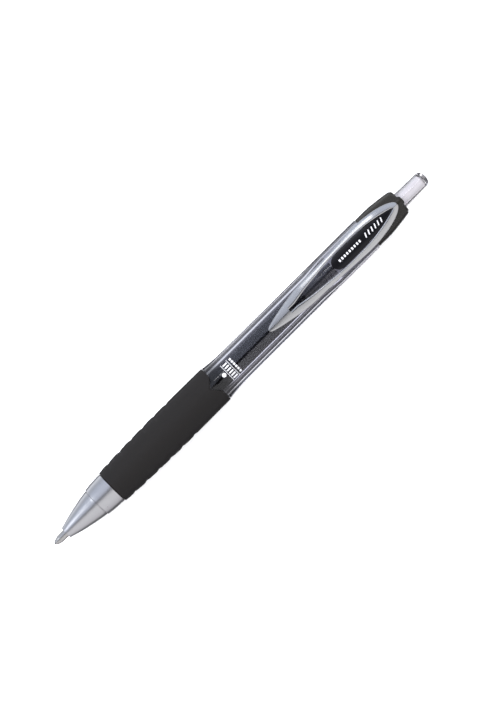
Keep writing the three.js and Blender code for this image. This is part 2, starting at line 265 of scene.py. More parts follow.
def half_bar(stations, section):
    """A bar along X that is the same on both sides of its middle plane. section(x) gives
    the points (y, h) of one half, from the top at the middle, over the outer edge, to the
    underside at the middle. Where both ends of a strip lie on the middle plane the halves
    join, so the strip is left out."""
    rings = [section(x) for x in stations]
    count = len(rings[0])
    points, faces = [], []
    for side in (1, -1):
        base = len(points)
        for x, ring in zip(stations, rings):
            points += [(x, side * y, h) for y, h in ring]
        for i in range(len(rings) - 1):
            for j in range(count):
                after = (j + 1) % count
                quad = [
                    base + i * count + j,
                    base + i * count + after,
                    base + (i + 1) * count + after,
                    base + (i + 1) * count + j,
                ]
                if all(abs(points[n][1]) < MIDDLE_GAP for n in quad):
                    continue
                faces.append(quad if side > 0 else quad[::-1])
        first = [base + j for j in range(count)]
        last = [base + (len(rings) - 1) * count + j for j in range(count)]
        faces.append(first[::-1] if side > 0 else first)
        faces.append(last if side > 0 else last[::-1])
    return points, faces


# ---------------------------------------------------------------------- materials


class Look:
    """A Principled material with small helpers for its nodes."""

    def __init__(self, name, color, roughness, metallic=0.0, **sockets):
        self.material = bpy.data.materials.new(name)
        self.material.use_nodes = True
        self.tree = self.material.node_tree
        self.shader = self.tree.nodes["Principled BSDF"]
        self.shader.inputs["Base Color"].default_value = (*color, 1)
        self.shader.inputs["Roughness"].default_value = roughness
        self.shader.inputs["Metallic"].default_value = metallic
        for socket, value in sockets.items():
            self.shader.inputs[socket.replace("_", " ")].default_value = value
        self.color, self.roughness = color, roughness

    def node(self, kind, **values):
        made = self.tree.nodes.new(kind)
        for name, value in values.items():
            if name in made.inputs:
                made.inputs[name].default_value = value
            else:
                setattr(made, name.lower().replace(" ", "_"), value)
        return made

    def link(self, source, output, target, socket):
        self.tree.links.new(source.outputs[output], target.inputs[socket])

    def noise(self, scale, detail=3.0, stretch=(1, 1, 1)):
        """Noise with about scale cells per millimetre, its cells stretched along x, y, z."""
        where = self.node("ShaderNodeTexCoord")
        mapping = self.node("ShaderNodeMapping")
        mapping.inputs["Scale"].default_value = [scale / (s * MM) for s in stretch]
        self.link(where, "Object", mapping, "Vector")
        made = self.node("ShaderNodeTexNoise", Scale=1.0, Detail=detail)
        self.link(mapping, "Vector", made, "Vector")
        return made

    def ramp(self, source, output, low, high):
        made = self.node("ShaderNodeMapRange")
        made.inputs["To Min"].default_value = low
        made.inputs["To Max"].default_value = high
        self.link(source, output, made, "Value")
        return made

    def vary_color(self, noise, amount):
        mix = self.node("ShaderNodeMix", data_type="RGBA")
        mix.inputs["A"].default_value = (*[c * (1 - amount) for c in self.color], 1)
        mix.inputs["B"].default_value = (*[min(c * (1 + amount), 1) for c in self.color], 1)
        self.tree.links.new(noise.outputs["Fac"], mix.inputs["Factor"])
        self.tree.links.new(mix.outputs["Result"], self.shader.inputs["Base Color"])
        return self

    def fade_color(self, first_color, first_x, last_x):
        """Goes from another colour at first_x along the pen to the look's own at last_x."""
        where = self.node("ShaderNodeTexCoord")
        split = self.node("ShaderNodeSeparateXYZ")
        self.link(where, "Object", split, "Vector")
        share = self.node("ShaderNodeMapRange", interpolation_type="SMOOTHSTEP")
        share.inputs["From Min"].default_value = TIP_X + first_x * MM
        share.inputs["From Max"].default_value = TIP_X + last_x * MM
        self.link(split, "X", share, "Value")
        mix = self.node("ShaderNodeMix", data_type="RGBA")
        mix.inputs["A"].default_value = (*first_color, 1)
        mix.inputs["B"].default_value = (*self.color, 1)
        self.tree.links.new(share.outputs["Result"], mix.inputs["Factor"])
        self.tree.links.new(mix.outputs["Result"], self.shader.inputs["Base Color"])
        return self

    def vary_roughness(self, noise, amount):
        spread_out = self.ramp(noise, "Fac", self.roughness - amount, self.roughness + amount)
        self.link(spread_out, "Result", self.shader, "Roughness")
        return self

    def bump(self, noise, depth_mm, strength=1.0):
        made = self.node("ShaderNodeBump", Strength=strength, Distance=depth_mm * MM)
        self.link(noise, "Fac", made, "Height")
        if self.shader.inputs["Normal"].is_linked:
            before = self.shader.inputs["Normal"].links[0].from_socket
            self.tree.links.new(before, made.inputs["Normal"])
        self.link(made, "Normal", self.shader, "Normal")
        return self

    def pass_light(self, tint):
        """Lets lamps shine through a clear piece, as real clear plastic does."""
        rays = self.node("ShaderNodeLightPath")
        clear = self.node("ShaderNodeBsdfTransparent", Color=(*tint, 1))
        mix = self.node("ShaderNodeMixShader")
        out = self.tree.nodes["Material Output"]
        self.link(rays, "Is Shadow Ray", mix, "Fac")
        self.tree.links.new(self.shader.outputs["BSDF"], mix.inputs[1])
        self.tree.links.new(clear.outputs["BSDF"], mix.inputs[2])
        self.tree.links.new(mix.outputs["Shader"], out.inputs["Surface"])
        return self


CLEAR_IOR = 1.49
RUBBER_IOR = 1.30
BARREL_SPECULAR = 0.36


def plated_metal(name, color, roughness, ring_depth):
    """Satin plating with faint turning rings and fine handling marks."""
    look = Look(name, color, roughness, 1.0)
    rings = look.noise(6.0, 2.0, stretch=(1, 40, 40))
    grain = look.noise(0.8, 4.0)
    return look.vary_roughness(grain, 0.05).vary_color(grain, 0.04).bump(rings, ring_depth)


def steel(name, color, roughness):
    """Machined steel with a fine grain and slight stains."""
    look = Look(name, color, roughness, 1.0)
    grain = look.noise(5.0, 3.0)
    return look.vary_roughness(grain, 0.08).vary_color(grain, 0.12).bump(grain, 0.004)


def clear_plastic(name, color, roughness, light_tint):
    """Moulded clear plastic with faint flow waves along the pen."""
    look = Look(name, color, roughness, Transmission_Weight=1.0, IOR=CLEAR_IOR)
    flow = look.noise(0.25, 2.0, stretch=(12, 1, 1))
    look.bump(flow, 0.003, 0.5).vary_roughness(look.noise(0.6, 3.0), 0.015)
    return look.pass_light(light_tint)


def smoky_plastic(name, color, roughness, light_tint, thick_color, thick_end, thin_start):
    """Clear plastic that is darker where its wall is thick, ahead of thick_end along the pen."""
    look = clear_plastic(name, color, roughness, light_tint)
    look.shader.inputs["Specular IOR Level"].default_value = BARREL_SPECULAR
    return look.fade_color(thick_color, thick_end, thin_start)


def opaque_plastic(name, color, roughness, grain_depth=0.002, ior=1.5):
    """Moulded plastic with slow colour changes and a fine grain."""
    look = Look(name, color, roughness, IOR=ior)
    grain = look.noise(4.0, 4.0)
    return look.vary_color(look.noise(0.5, 2.0), 0.10).vary_roughness(grain, 0.05).bump(
        grain, grain_depth
    )


def rubber(name, color):
    """Moulded rubber: a fine matte grain and slight mottling."""
    look = Look(name, color, 0.62, IOR=RUBBER_IOR)
    grain = look.noise(9.0, 4.0)
    mottle = look.noise(0.35, 3.0)
    return look.vary_color(mottle, 0.12).vary_roughness(mottle, 0.08).bump(grain, 0.012, 0.6)


def printed_ink(name, color):
    """Printed ink, slightly uneven in colour and height."""
    look = Look(name, color, 0.45)
    return look.vary_color(look.noise(3.0, 3.0), 0.08).bump(look.noise(8.0, 2.0), 0.003)


LOOKS = {
    "nose": plated_metal("nose_plating", (0.53, 0.53, 0.535), 0.30, 0.0012),
    "clip": plated_metal("clip_plating", (0.51, 0.51, 0.505), 0.20, 0.0012),
    "point": steel("point_steel", (0.48, 0.47, 0.45), 0.28),
    "ball": steel("ball_carbide", (0.22, 0.22, 0.23), 0.16),
    "spring": steel("spring_steel", (0.58, 0.58, 0.60), 0.20),
    "grip": rubber("grip_rubber", (0.0068, 0.0061, 0.0059)),
    "barrel": smoky_plastic(
        "smoky_barrel",
        color=(0.58, 0.58, 0.63),
        roughness=0.02,
        light_tint=(0.78, 0.78, 0.82),
        thick_color=(0.16, 0.16, 0.17),
        thick_end=63.6,
        thin_start=69.0,
    ),
    "button": clear_plastic("clear_button", (0.85, 0.83, 0.85), 0.06, (0.90, 0.90, 0.90)),
    "tube": clear_plastic("refill_wall", (0.92, 0.92, 0.94), 0.12, (0.94, 0.94, 0.94)),
    "gel": clear_plastic("follower_gel", (0.10, 0.10, 0.11), 0.35, (0.50, 0.50, 0.52)),
    "cap": opaque_plastic("cap_plastic", (0.010, 0.009, 0.007), 0.26, ior=1.38),
    "inlay": opaque_plastic("inlay_gloss", (0.004, 0.004, 0.005), 0.12, 0.0006, ior=1.28),
    "cam": opaque_plastic("cam_white", (0.80, 0.79, 0.80), 0.42),
    "sleeve": opaque_plastic("sleeve_frosted", (0.42, 0.42, 0.45), 0.40),
    "plug": opaque_plastic("plug_black", (0.02, 0.02, 0.022), 0.50),
    "holder": opaque_plastic("holder_milky", (0.62, 0.62, 0.64), 0.35),
    "ink": opaque_plastic("gel_ink", (0.004, 0.004, 0.006), 0.15, 0.0005, ior=1.08),
    "print": printed_ink("white_print", (0.46, 0.46, 0.48)),
}


# ------------------------------------------------------------------ making pieces


def piece(name, shape, look, body, node=None, crease=38):
    """Makes a shape into an object that rides on a body and stands for a CAD node."""
    points, faces = shape
    mesh = bpy.data.meshes.new(name)
    mesh.from_pydata([place(*p) for p in points], [], faces)
    obj = bpy.data.objects.new(name, mesh)
    bpy.context.collection.objects.link(obj)
    tidy(mesh)
    mesh.shade_smooth()
    mesh.set_sharp_from_angle(angle=math.radians(crease))
    mesh.materials.append(LOOKS[look].material)
    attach(obj, body)
    if node:
        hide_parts(node)
    return obj


def tidy(mesh):
    """Welds doubled points and turns every face outwards."""
    work = bmesh.new()
    work.from_mesh(mesh)
    bmesh.ops.remove_doubles(work, verts=work.verts, dist=WELD)
    bmesh.ops.dissolve_degenerate(work, edges=work.edges, dist=SLIVER)
    bmesh.ops.recalc_face_normals(work, faces=work.faces)
    work.to_mesh(mesh)
    work.free()


# ---------------------------------------------------------------------- the nose


CONE_END = 16.1  # the groove between cone and collar starts here


def make_nose():
    start, end = reach("nose_cone")
    cone = curve([
        (start, 1.74), (5.65, 2.11), (8.41, 2.87), (11.16, 3.47), (13.92, 4.02), (CONE_END, 4.37),
    ])
    collar = curve([(16.42, 4.6), (18.5, 4.85), (end, 5.06)])
    outer = [
        (start, 1.5, 0.12),
        (start + 0.02, cone(start + 0.02), 0.12),
        *[(x, cone(x)) for x in spread(start + 0.02, CONE_END, 18)[1:]],
        (16.12, 4.38, 0.05),
        (16.16, 4.24, 0.03),
        (16.30, 4.24, 0.03),
        (16.36, 4.58, 0.22),
        *[(x, collar(x)) for x in spread(16.5, end - 0.15, 7)],
        (end, 5.05, 0.12),
    ]
    bore = [
        (start, 1.42, 0.05),
        (6.6, 1.40, 0.1),
        (7.0, 1.9, 0.1),
        (10.0, 1.9),
        (10.0, 2.62),
        (16.9, 2.62),
        (16.9, 4.2),
        (end, 4.22),
    ]
    piece("nose_cone_turned", tube(outer, bore), "nose", "pen_body", "nose_cone")


# ---------------------------------------------------------------------- the grip

V_APEX = 60.5
V_HALF_WIDTH = 2.8
GRIP_BORE = 4.86
RIB_XS = [26.0 + 4.55 * i for i in range(6)]
RIB_FROM, RIB_FULL = math.radians(42), math.radians(66)  # from the top: a notch begins, is full
VALLEY_DEPTH, VALLEY_WIDTH = 0.19, 0.55
SWELLING_RISE, SWELLING_WIDTH, SWELLING_LEAD = 0.05, 1.1, 1.6


def grip_end(angle, clearance=0.0):
    """Where the grip's rear edge lies at an angle from the top: it has a V under the clip."""
    end = reach("rubber_grip")[1]
    across = abs(girth("rubber_grip") * math.sin(angle))
    if math.cos(angle) < 0 or across > V_HALF_WIDTH:
        return end + clearance
    return V_APEX + (end - V_APEX) * across / V_HALF_WIDTH + clearance


def rib_depth(x, angle):
    """The notches on both sides: steep valleys between low swellings."""
    side = smooth_step(abs(math.sin(angle)), math.sin(RIB_FROM), math.sin(RIB_FULL))
    valley = sum(math.exp(-(((x - at) / VALLEY_WIDTH) ** 2)) for at in RIB_XS)
    swelling = sum(math.exp(-(((x - at + SWELLING_LEAD) / SWELLING_WIDTH) ** 2)) for at in RIB_XS)
    return side * (VALLEY_DEPTH * valley - SWELLING_RISE * swelling)


def make_grip():
    start, end = reach("rubber_grip")
    largest = girth("rubber_grip") - 0.06
    surface = curve([
        (start, 5.27), (25.5, 5.46), (31, 5.66), (38, 5.82), (44, largest), (50, largest), (end, 5.84),
    ])

    def profile(angle):
        rear = grip_end(angle)
        outer = [(start, 5.0), (start, 5.17), (start + 0.04, 5.23), (start + 0.12, surface(start))]
        for x in spread(start + 0.3, rear - 0.4, 150):
            outer.append((x, surface(x) - rib_depth(x, angle)))
        outer += [(rear - 0.15, surface(rear) - 0.02), (rear - 0.03, surface(rear) - 0.09)]
        outer += [(rear, surface(rear) - 0.2), (rear, GRIP_BORE), (start, GRIP_BORE)]
        return outer

    sleeve = turned(profile, closed=True, steps=FINE_STEPS)
    piece("rubber_grip_sleeve", sleeve, "grip", "pen_body", "rubber_grip")


# -------------------------------------------------------------------- the barrel


BARREL_RADIUS = 5.115
BARREL_BORE = 3.45
SLEEVE_SEAT = 4.1  # the wider bore behind, for the guide sleeve
CAP_SEAT = 4.5
GRIP_SEAT_START = 22.4
SHOULDER_START = 62.7
barrel_surface = curve([
    (62.8, 5.68), (64.1, 5.52), (65.6, 5.36), (69.6, 5.17), (76, BARREL_RADIUS), (80, BARREL_RADIUS),
])


def make_barrel():
    start, end = reach("barrel")
    cap_start = reach("end_cap")[0]

    def profile(angle):
        shoulder = grip_end(angle, 0.05)
        spigot = [(start, 3.5), (start, 3.75), (start + 0.15, 3.85)]
        seat = [(GRIP_SEAT_START, 3.85), (GRIP_SEAT_START, 4.7), (GRIP_SEAT_START + 0.1, 4.75)]
        edge = [(shoulder, 4.75), (shoulder, 5.5), (shoulder + 0.06, 5.6), (shoulder + 0.25, 5.66)]
        xs = spread(max(shoulder, SHOULDER_START) + 0.4, 76, 24)
        body = [(x, barrel_surface(x)) for x in xs]
        rear = [
            (cap_start - 0.45, BARREL_RADIUS),
            (cap_start - 0.3, BARREL_RADIUS - 0.03),
            (cap_start - 0.18, 4.98),
            (cap_start - 0.15, CAP_SEAT),
            (end - 0.1, CAP_SEAT),
            (end, CAP_SEAT - 0.1),
        ]
        bore = [
            (end, SLEEVE_SEAT),
            (107.5, SLEEVE_SEAT),
            (106.5, SLEEVE_SEAT - 0.02),
            (100.5, BARREL_BORE + 0.02),
            (99.5, BARREL_BORE),
            (start, BARREL_BORE),
        ]
        return spigot + seat + edge + body + rear + bore

    piece("barrel_clear", turned(profile, closed=True, steps=FINE_STEPS), "barrel", "pen_body", "barrel")


# -------------------------------------------------------------------- print marks

PRINT_RISE = 0.014  # above the surface that it is printed on
PRINT_ROOT = 0.004  # below that surface


def wrapped(x, y, up):
    """A point on the barrel at a distance y across it, raised by up."""
    radius = barrel_surface(x) + up
    angle = math.asin(y / radius)
    return x, radius * math.sin(angle), radius * math.cos(angle)


def wrapped_patch(x0, x1, y0, y1):
    """A thin raised patch of print on the barrel, between two distances across it."""
    xs, ys = spread(x0, x1, 5), spread(y0, y1, 9)
    layers = [[wrapped(x, y, up) for x in xs for y in ys] for up in (PRINT_RISE, -PRINT_ROOT)]
    return closed_patch(layers, len(xs), len(ys))


def wrapped_dot(x, y, size, count=32):
    """A thin raised dot of print on the barrel, as rings from its top middle to its root."""
    rings = [(PRINT_RISE, s) for s in spread(0, size, 4)]
    rings += [(-PRINT_ROOT, s) for s in spread(size, 0, 4)]
    turns = [2 * math.pi * k / count for k in range(count)]
    points = [
        wrapped(x + s * math.cos(t), y + s * math.sin(t), up) for up, s in rings for t in turns
    ]
    return points, bands(len(rings), count)


def closed_patch(layers, rows, columns):
    """Joins two layers of rows by columns points into one closed thin body."""
    points = layers[0] + layers[1]
    lower = rows * columns
    faces = []
    for i in range(rows - 1):
        for j in range(columns - 1):
            first = i * columns + j
            quad = [first, first + 1, first + columns + 1, first + columns]
            faces += [quad, [lower + n for n in reversed(quad)]]
    rim = list(range(columns))
    rim += [i * columns + columns - 1 for i in range(1, rows)]
    rim += [(rows - 1) * columns + j for j in range(columns - 2, -1, -1)]
    rim += [i * columns for i in range(rows - 2, 0, -1)]
    for a, b in zip(rim, rim[1:] + rim[:1]):
        faces.append([a, a + lower, b + lower, b])
    return points, faces


DOT_X, DOT_Y, DOT_RADIUS = 66.0, 0.1, 0.62
LINE_XS, LINE_WIDTH, LINE_HALF_LENGTH = (66.95, 69.1), 0.14, 2.7
MARKS_PER_ROW = 6
# Rows of marks round the barrel: front x, rear x, first y, pitch, width.
BAR_ROW = (67.35, 68.85, -2.45, 0.86, 0.42)
SQUARE_ROW = (69.85, 70.45, -2.40, 0.84, 0.60)


def make_barrel_print():
    """A plain block of print: a dot, a row of bars between two lines and a row of squares."""
    marks = [wrapped_dot(DOT_X, DOT_Y, DOT_RADIUS)]
    for x in LINE_XS:
        marks.append(wrapped_patch(x, x + LINE_WIDTH, -LINE_HALF_LENGTH, LINE_HALF_LENGTH))
    for front, rear, first_y, pitch, width in (BAR_ROW, SQUARE_ROW):
        for i in range(MARKS_PER_ROW):
            y = first_y + pitch * i
            marks.append(wrapped_patch(front, rear, y, y + width))
    piece("barrel_print", combine(*marks), "print", "pen_body")


# ----------------------------------------------------------------------- end cap


LUG_LENGTH = 0.55  # how far the lip behind the clip stands past the cap's rear face
LUG_START = 132.6
LUG_HALF_WIDTH = 1.5
LUG_HEIGHT = 3.55


def make_end_cap():
    start, end = reach("end_cap")
    face = end - LUG_LENGTH
    outer = [
        (start, 4.97, 0.12),
        (126.4, 4.97, 2.0),
        (129.1, 4.66, 1.5),
        (131.3, 4.39, 1.5),
        (133.45, 4.07, 0.14),
        (face, 3.45, 0.14),
    ]
    bore = [
        (start, 4.6),
        (124.2, 4.6),
        (124.2, 4.05),
        (127.7, 4.05),
        (127.7, 3.5),
        (128.6, 3.5),
        (128.6, 2.7),
        (face, 2.7, 0.15),
    ]
    shell = tube(outer, bore, arc=7)
    lug = lug_shape(LUG_START, end, LUG_HALF_WIDTH)
    piece("end_cap_moulded", combine(shell, lug), "cap", "pen_body", "end_cap")


def lug_shape(start, end, half, sides=24):
    """The small rounded lip of the cap behind the clip's root."""
    rows = []
    for x in spread(start, end, 10):
        rise = math.sqrt(max(0.0, 1 - ((x - start) / (end - start)) ** 3))
        width = half * (0.55 + 0.45 * rise)
        ring = []
        for k in range(sides):
            angle = 2 * math.pi * k / sides
            height = LUG_HEIGHT + (0.15 + 0.5 * rise) * math.cos(angle)
            ring.append((x, width * math.sin(angle), height))
        rows.append(ring)
    points = [p for ring in rows for p in ring]
    faces = bands(len(rows), sides)
    faces += [list(range(sides)), [(len(rows) - 1) * sides + k for k in reversed(range(sides))]]
    return points, faces


# -------------------------------------------------------------------------- clip

CLIP_OUTLINE = curve([
    (83.3, 0.3), (83.6, 0.6), (85, 1.12), (88.3, 1.9), (91, 2.42), (94.3, 2.92), (98, 3.26), (102.4, 3.36),
    (107.6, 3.5), (114, 3.78), (118.7, 3.98), (121.4, 3.93), (125.6, 3.47), (129, 2.7), (131.2, 1.85),
    (132.3, 1.15), (132.7, 0.7),
])
OPENING_OUTLINE = curve([
    (93.5, 0.42), (95.5, 0.78), (98.9, 1.32), (102.4, 1.68), (107.6, 2.2), (113, 2.4), (118.7, 2.32),
    (122, 2.02), (125.6, 1.45), (129, 0.68), (131.1, 0.15),
])
CLIP_TOP = curve([
    (83.3, 6.05), (85.5, 6.08), (89, 6.7), (94.3, 7.66), (98, 7.87), (119.5, 7.87), (124, 7.66),
    (128, 6.95), (131.2, 5.98), (132.7, 5.25),
])
CLIP_UNDERSIDE = curve([
    (83.3, 5.72), (86.5, 5.22), (89, 5.82), (94.3, 7.03), (95.5, 7.18), (120.5, 7.18), (124, 6.85),
    (128, 5.87), (131.2, 5.1), (132.7, 4.75),
])
SLOT_START, OPENING_START, OPENING_END = 91.2, 93.5, 131.1
SLOT_HALF_WIDTH = 0.42
CROWN_RADIUS = 15.8
RAIL_ROUND_IN, RAIL_ROUND_OUT = 0.38, 0.45  # sizes of a rail's rounded edges
INNER_DROP, OUTER_DROP = 0.30, 0.34  # how far the top falls over those edges
THINNEST = 0.16
FOOT_XS, FOOT_HALF_WIDTH, FOOT_HEIGHTS = (129.3, 131.1), 1.25, (3.95, 5.6)


def clip_gap(x):
    """Half the width of the slot and the leaf-shaped opening behind it, or 0 in solid metal."""
    if SLOT_START < x <= OPENING_START:
        return SLOT_HALF_WIDTH
    if OPENING_START < x < OPENING_END:
        return OPENING_OUTLINE(x)
    return 0.0


def crown_drop(y):
    """How far the crowned top of the clip has fallen at y from its middle."""
    return CROWN_RADIUS - math.sqrt(CROWN_RADIUS**2 - y * y)


def clip_section(x):
    """One half of the clip at x: rounded rail, or solid spear with a soft ridge."""
    gap, edge = clip_gap(x), CLIP_OUTLINE(x)
    open_here = 1.0 if gap > 0 else 0.0
    crest, underside = CLIP_TOP(x), CLIP_UNDERSIDE(x)
    ridge = 0.05 * (1 - smooth_step(x, 90, 97)) + 0.10 * smooth_step(x, 127, 132)
    round_in = min(RAIL_ROUND_IN, 0.45 * (edge - gap))
    round_out = min(RAIL_ROUND_OUT, 0.5 * (edge - gap), 0.8 * (crest - underside))

    def top(y):
        return max(crest - crown_drop(y) - ridge * y, underside + THINNEST)

    section = []
    for k in range(5):
        angle = math.pi / 2 * k / 4
        y = gap + round_in * ((1 - math.cos(angle)) * open_here + k / 4 * (1 - open_here))
        section.append((y, top(y) - INNER_DROP * (1 - math.sin(angle)) * open_here))
    for y in spread(gap + round_in, edge - round_out, 6)[1:-1]:
        section.append((y, top(y)))
    for k in range(7):
        angle = math.pi / 2 * k / 6
        y = edge - round_out * (1 - math.sin(angle))
        drop = min(OUTER_DROP, top(edge) - underside - 0.05) * (1 - math.cos(angle))
        section.append((y, top(y) - drop))
    section.append((edge - 0.06, underside))
    section.append((gap + 0.05 * open_here, underside))
    return section


def make_clip():
    start, end = reach("clip")
    steps = spread(start, SLOT_START, 34)[:-1]
    steps += [SLOT_START, SLOT_START + 0.02, *spread(SLOT_START + 0.3, OPENING_START, 6)]
    steps += [OPENING_START + 0.02, *spread(OPENING_START + 0.25, OPENING_END - 0.02, 90)]
    steps += [OPENING_END, *spread(OPENING_END + 0.1, end, 12)]
    spear = half_bar(steps, clip_section)
    piece("clip_spear", combine(spear, foot_shape()), "clip", "clip_unit", "clip", crease=50)


def foot_shape():
    """The clip's root, which stands in the end cap."""
    ys = (-FOOT_HALF_WIDTH, FOOT_HALF_WIDTH)
    corners = [(x, y, h) for x in FOOT_XS for y in ys for h in FOOT_HEIGHTS]
    faces = [[0, 1, 3, 2], [4, 6, 7, 5], [0, 4, 5, 1], [2, 3, 7, 6], [0, 2, 6, 4], [1, 5, 7, 3]]
    return corners, faces


INLAY_FRONT = 2.4  # length of its rounded front
INLAY_CLEARANCE = 0.13  # to the rails
INLAY_SINK, INLAY_FLOOR = 0.14, 0.66  # its top and underside, below the clip's top
INLAY_RIM, INLAY_RIM_DROP = 0.22, 0.16


def inlay_edge(x, start):
    """Half the inlay's width at x."""
    share = min((x - start) / INLAY_FRONT, 1.0)
    return (OPENING_OUTLINE(x) - INLAY_CLEARANCE) * math.sqrt(max(0.0, 1 - (1 - share) ** 2))


def inlay_top(x, y):
    return CLIP_TOP(x) - INLAY_SINK - crown_drop(y)


def make_inlay():
    start, end = reach("clip_inlay")

    def section(x):
        edge = max(inlay_edge(x, start), 0.02)
        bottom = CLIP_TOP(x) - INLAY_FLOOR
        rim = min(INLAY_RIM, 0.5 * edge)
        points = [(y, inlay_top(x, y)) for y in spread(0.0, edge - rim, 7)]
        for k in range(1, 6):
            angle = math.pi / 2 * k / 5
            y = edge - rim * (1 - math.sin(angle))
            points.append((y, inlay_top(x, y) - INLAY_RIM_DROP * (1 - math.cos(angle))))
        return points + [(edge, bottom), (0.0, bottom)]

    xs = [start + INLAY_FRONT * (1 - math.cos(math.pi / 2 * k / 14)) for k in range(15)]
    xs += spread(start + INLAY_FRONT + 0.4, end, 50)
    piece("clip_inlay_leaf", half_bar(xs, section), "inlay", "clip_unit", "clip_inlay", crease=50)


def inlay_patch(x0, x1, y0, y1):
    """A thin raised patch of print on the inlay."""
    xs, ys = spread(x0, x1, 7), spread(y0, y1, 5)
    layers = [
        [(x, y, inlay_top(x, y) + up) for x in xs for y in ys] for up in (PRINT_RISE, -PRINT_ROOT)
    ]
    return closed_patch(layers, len(xs), len(ys))


def slanted_bar(x, half_length, lean, half_width):
    """A bar of print across the inlay whose middle line is y = lean * (distance from x)."""
    size = half_width / math.hypot(1, lean)
    middles = [(x + step, lean * step) for step in spread(-half_length, half_length, 8)]
    rows = [
        [(at - lean * size * s, y + size * s) for s in (1, 0.33, -0.33, -1)] for at, y in middles
    ]
    layers = [
        [(at, y, inlay_top(at, y) + up) for row in rows for at, y in row]
        for up in (PRINT_RISE, -PRINT_ROOT)
    ]
    return closed_patch(layers, len(middles), 4)


UPRIGHT_COUNT, UPRIGHT_START, UPRIGHT_PITCH = 9, 110.3, 0.95
UPRIGHT_WIDTH, UPRIGHT_HALF_HEIGHT = 0.52, 0.36
SLANTED_COUNT, SLANTED_START, SLANTED_PITCH = 6, 120.5, 1.2
SLANTED_HALF_LENGTH, SLANTED_LEAN, SLANTED_HALF_WIDTH = 0.29, 2.2, 0.17


def make_inlay_print():
    """A row of short upright bars and a row of slanted bars."""
    marks = []
    for i in range(UPRIGHT_COUNT):
        x = UPRIGHT_START + UPRIGHT_PITCH * i
        marks.append(inlay_patch(x, x + UPRIGHT_WIDTH, -UPRIGHT_HALF_HEIGHT, UPRIGHT_HALF_HEIGHT))
    for i in range(SLANTED_COUNT):
        x = SLANTED_START + SLANTED_PITCH * i
        marks.append(slanted_bar(x, SLANTED_HALF_LENGTH, SLANTED_LEAN, SLANTED_HALF_WIDTH))
    obj = piece("inlay_print", combine(*marks), "print", "clip_unit")


# ------------------------------------------------------------- button and its cam


def make_button():
    start, end = reach("push_button")
    outer = [
        (start, 2.46, 0.1),
        (134, 2.44, 2.0),
        (142.2, 2.31, 0.5),
        (143.35, 2.12, 0.75),
        (end - 0.08, 1.1, 0.6),
        (end, 0.0),
    ]
    bore = [(start, 1.95, 0.05), (142.2, 1.88, 0.4), (142.85, 1.3, 0.3), (142.95, 0.0)]
    outside = rounded(outer, arc=7)
    inside = rounded(bore, arc=5)
    profile = [*outside, *reversed(inside), outside[0]]
    piece("push_button_shell", turned(profile), "button", "button_unit", "push_button")


CAM_RADIUS = 2.48
TOOTH_RADII = (1.4, 2.4)
TOOTH_ROOT = 0.2  # how far a tooth reaches into its cam
TOOTH_LAYERS = ((0.25, 34), (0.45, 24), (0.65, 14), (0.75, 8))  # height, degrees wide
FIN_RADII, FIN_WIDTH = (2.2, 3.28), 16  # the width in degrees
THRUST_FRONT, THRUST_REAR = 117.9, 123.3
ROTOR_REAR = 116.3


def cam_teeth(x, direction, count=8):
    """A crown of stepped teeth on the face of a cam."""
    teeth = []
    for i in range(count):
        for height, width in TOOTH_LAYERS:
            low, high = sorted((x - direction * TOOTH_ROOT, x + direction * height))
            teeth.append(sector(low, high, *TOOTH_RADII, i * 360 / count, width))
    return teeth


def cam_fins(start, end, first_angle, count=4):
    """The fins of a cam that run between the sleeve's ribs."""
    angles = [first_angle + i * 360 / count for i in range(count)]
    return [sector(start, end, *FIN_RADII, angle, FIN_WIDTH) for angle in angles]


def make_thrust_cam():
    start, end = reach("thrust_cam")
    profile = rounded([
        (start, 0.0),
        (start, 0.94, 0.2),
        (THRUST_FRONT, 0.95),
        (THRUST_FRONT, CAM_RADIUS, 0.1),
        (THRUST_REAR, CAM_RADIUS, 0.15),
        (THRUST_REAR, 1.71),
        (end - 0.5, 1.7, 0.4),
        (end, 1.1, 0.3),
        (end, 0.0),
    ])
    parts = [turned(profile), *cam_fins(119.0, 123.2, 45), *cam_teeth(THRUST_FRONT, -1)]
    piece("thrust_cam_plunger", combine(*parts), "cam", "button_unit", "thrust_cam")


def make_rotor():
    start = reach("rotor")[0]
    body = tube(
        [(start, CAM_RADIUS, 0.15), (ROTOR_REAR, CAM_RADIUS, 0.08)],
        [(start, 1.26, 0.1), (ROTOR_REAR, 1.26)],
    )
    parts = [body, *cam_fins(111.5, 114.8, 21), *cam_teeth(ROTOR_REAR, 1)]
    piece("cam_rotor", combine(*parts), "cam", "cam_rotor", "rotor")


def make_sleeve():
    start, end = reach("guide_sleeve")
    wall = tube(
        [(start, 3.94, 0.12), (end, 3.94, 0.12)],
        [(start, 3.52, 0.1), (end, 3.52, 0.1)],
    )
    ribs = [sector(115, end - 0.05, 2.72, 3.6, i * 90, 20) for i in range(4)]
    piece("guide_sleeve_ribbed", combine(wall, *ribs), "sleeve", "pen_body", "guide_sleeve")


# ------------------------------------------------------------------------ refill


TUBE_RADIUS, TUBE_BORE = 2.78, 2.1
INK_RADIUS = 2.11  # a hair more than the bore, so that the ink wets the wall


